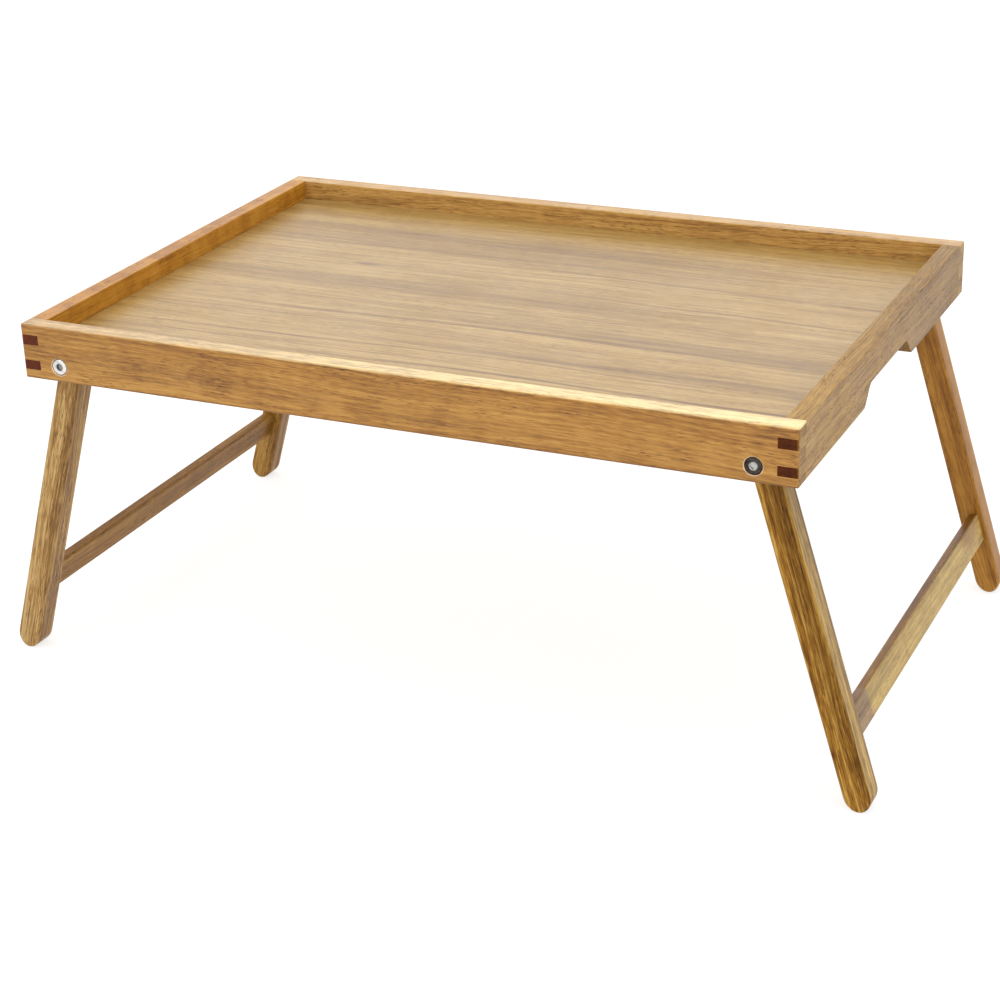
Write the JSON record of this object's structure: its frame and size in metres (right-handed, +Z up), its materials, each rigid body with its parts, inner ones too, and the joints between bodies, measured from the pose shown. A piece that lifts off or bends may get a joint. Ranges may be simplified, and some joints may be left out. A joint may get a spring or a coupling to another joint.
{
  "type": "folding tray table",
  "caption": "Wooden bed tray table: finger-jointed rails round a veneered panel, handle notches in the end rails, and splayed leg frames that fold flat under the panel.",
  "frame": {"origin": "on the floor, under the middle of the tray, with the legs open", "axes": "+X along the tray's length, to the right of somebody who sits in front of it; +Y away from them; +Z up"},
  "size_m": [0.5846, 0.35, 0.2368],
  "materials": {
    "long_rail_wood": "satin oiled acacia, warm orange-brown with fine dark pores along the rail",
    "end_rail_wood": "satin oiled acacia, slightly greyer brown",
    "panel_veneer": "pale acacia veneer with darker streaks along the tray, soft satin lacquer",
    "leg_wood": "satin oiled acacia with strong brown and honey stripes along the leg",
    "stretcher_wood": "satin oiled acacia, medium brown",
    "dowel_wood": "bare beech dowel",
    "bolt_steel": "zinc-plated steel, slightly brushed",
    "washer_steel": "zinc-plated steel",
    "insert_brass": "turned brass"
  },
  "bodies": {
    "tray": {"front_rail": "long_rail_wood", "back_rail": "long_rail_wood", "left_rail": "end_rail_wood", "right_rail": "end_rail_wood", "tray_panel": "panel_veneer"},
    "left_frame": {"left_stretcher": "stretcher_wood", "left_front_leg": "leg_wood", "left_front_lower_dowel": "dowel_wood", "left_front_upper_dowel": "dowel_wood", "left_front_pivot_bolt": "bolt_steel", "left_front_spacer_washer": "washer_steel", "left_front_threaded_insert": "insert_brass", "left_back_leg": "leg_wood", "left_back_lower_dowel": "dowel_wood", "left_back_upper_dowel": "dowel_wood", "left_back_pivot_bolt": "bolt_steel", "left_back_spacer_washer": "washer_steel", "left_back_threaded_insert": "insert_brass"},
    "right_frame": {"right_stretcher": "stretcher_wood", "right_front_leg": "leg_wood", "right_front_lower_dowel": "dowel_wood", "right_front_upper_dowel": "dowel_wood", "right_front_pivot_bolt": "bolt_steel", "right_front_spacer_washer": "washer_steel", "right_front_threaded_insert": "insert_brass", "right_back_leg": "leg_wood", "right_back_lower_dowel": "dowel_wood", "right_back_upper_dowel": "dowel_wood", "right_back_pivot_bolt": "bolt_steel", "right_back_spacer_washer": "washer_steel", "right_back_threaded_insert": "insert_brass"}
  },
  "joints": [
    {"name": "left_frame_fold", "type": "hinge", "parent": "tray", "child": "left_frame", "pos_m": [-0.2243, 0, 0.21121], "axis": [0, -1, 0], "range_deg": [0, 106.5]},
    {"name": "right_frame_fold", "type": "hinge", "parent": "tray", "child": "right_frame", "pos_m": [0.2243, 0, 0.21121], "axis": [0, 1, 0], "range_deg": [0, 106.5]}
  ]
}
